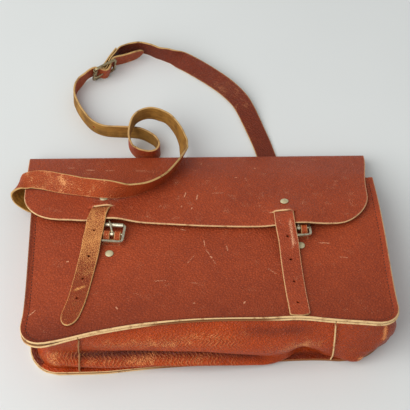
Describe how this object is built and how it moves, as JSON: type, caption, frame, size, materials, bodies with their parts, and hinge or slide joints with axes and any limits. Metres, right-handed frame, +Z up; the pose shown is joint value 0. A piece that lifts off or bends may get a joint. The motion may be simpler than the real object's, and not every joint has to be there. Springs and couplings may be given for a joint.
{
  "type": "leather satchel",
  "caption": "Worn brown leather satchel lying on its back, flap closed over the front, strap ends loose beside roller buckles, buckled shoulder strap thrown over the top edge.",
  "frame": {"origin": "middle of the back panel's outer face, which lies on the table", "axes": "+Z up out of the front of the bag, +Y from the bottom of the bag to the fold at its top, +X to the right of someone who faces the front"},
  "size_m": [0.4023, 0.4255, 0.0828],
  "materials": {
    "panel_leather": "worn satin with fine grain and pale scuffs",
    "gusset_leather": "worn satin with coarse grain",
    "strap_leather": "worn satin, cracked grain, suede back",
    "rivet_metal": "dull, pale",
    "buckle_metal": "worn plate over brass"
  },
  "bodies": {
    "satchel": {"back_flap_panel": "panel_leather", "front_panel": "panel_leather", "gusset_left": "gusset_leather", "gusset_bottom": "gusset_leather", "gusset_right": "gusset_leather", "closing_strap_left": "strap_leather", "closing_strap_right": "strap_leather", "buckle_tab_left": "strap_leather", "buckle_tab_right": "strap_leather", "shoulder_strap_long": "strap_leather", "shoulder_strap_short": "strap_leather", "flap_rivet_left": "rivet_metal", "flap_rivet_right": "rivet_metal", "tab_rivet_left": "rivet_metal", "tab_rivet_right": "rivet_metal", "buckle_frame_left": "buckle_metal", "buckle_frame_right": "buckle_metal", "shoulder_buckle_frame": "buckle_metal", "shoulder_buckle_roller": "buckle_metal", "shoulder_buckle_prong": "buckle_metal"},
    "prong_left": {"buckle_prong_left": "buckle_metal"},
    "prong_right": {"buckle_prong_right": "buckle_metal"},
    "roller_left": {"buckle_roller_left": "buckle_metal"},
    "roller_right": {"buckle_roller_right": "buckle_metal"}
  },
  "joints": [
    {"name": "prong_left_swing", "type": "hinge", "parent": "satchel", "child": "prong_left", "pos_m": [-0.09855, -0.00327, 0.06332], "axis": [0.9892, -0.1372, 0.0505], "range_deg": [0, 125]},
    {"name": "prong_right_swing", "type": "hinge", "parent": "satchel", "child": "prong_right", "pos_m": [0.09643, -0.00102, 0.06321], "axis": [0.997, 0.0687, -0.0353], "range_deg": [0, 3]},
    {"name": "roller_left_turn", "type": "hinge", "parent": "satchel", "child": "roller_left", "pos_m": [-0.09676, 0.00894, 0.06132], "axis": [0.9892, -0.1372, 0.0505], "continuous": true},
    {"name": "roller_right_turn", "type": "hinge", "parent": "satchel", "child": "roller_right", "pos_m": [0.09551, 0.01126, 0.06105], "axis": [0.997, 0.0687, -0.0353], "continuous": true}
  ]
}
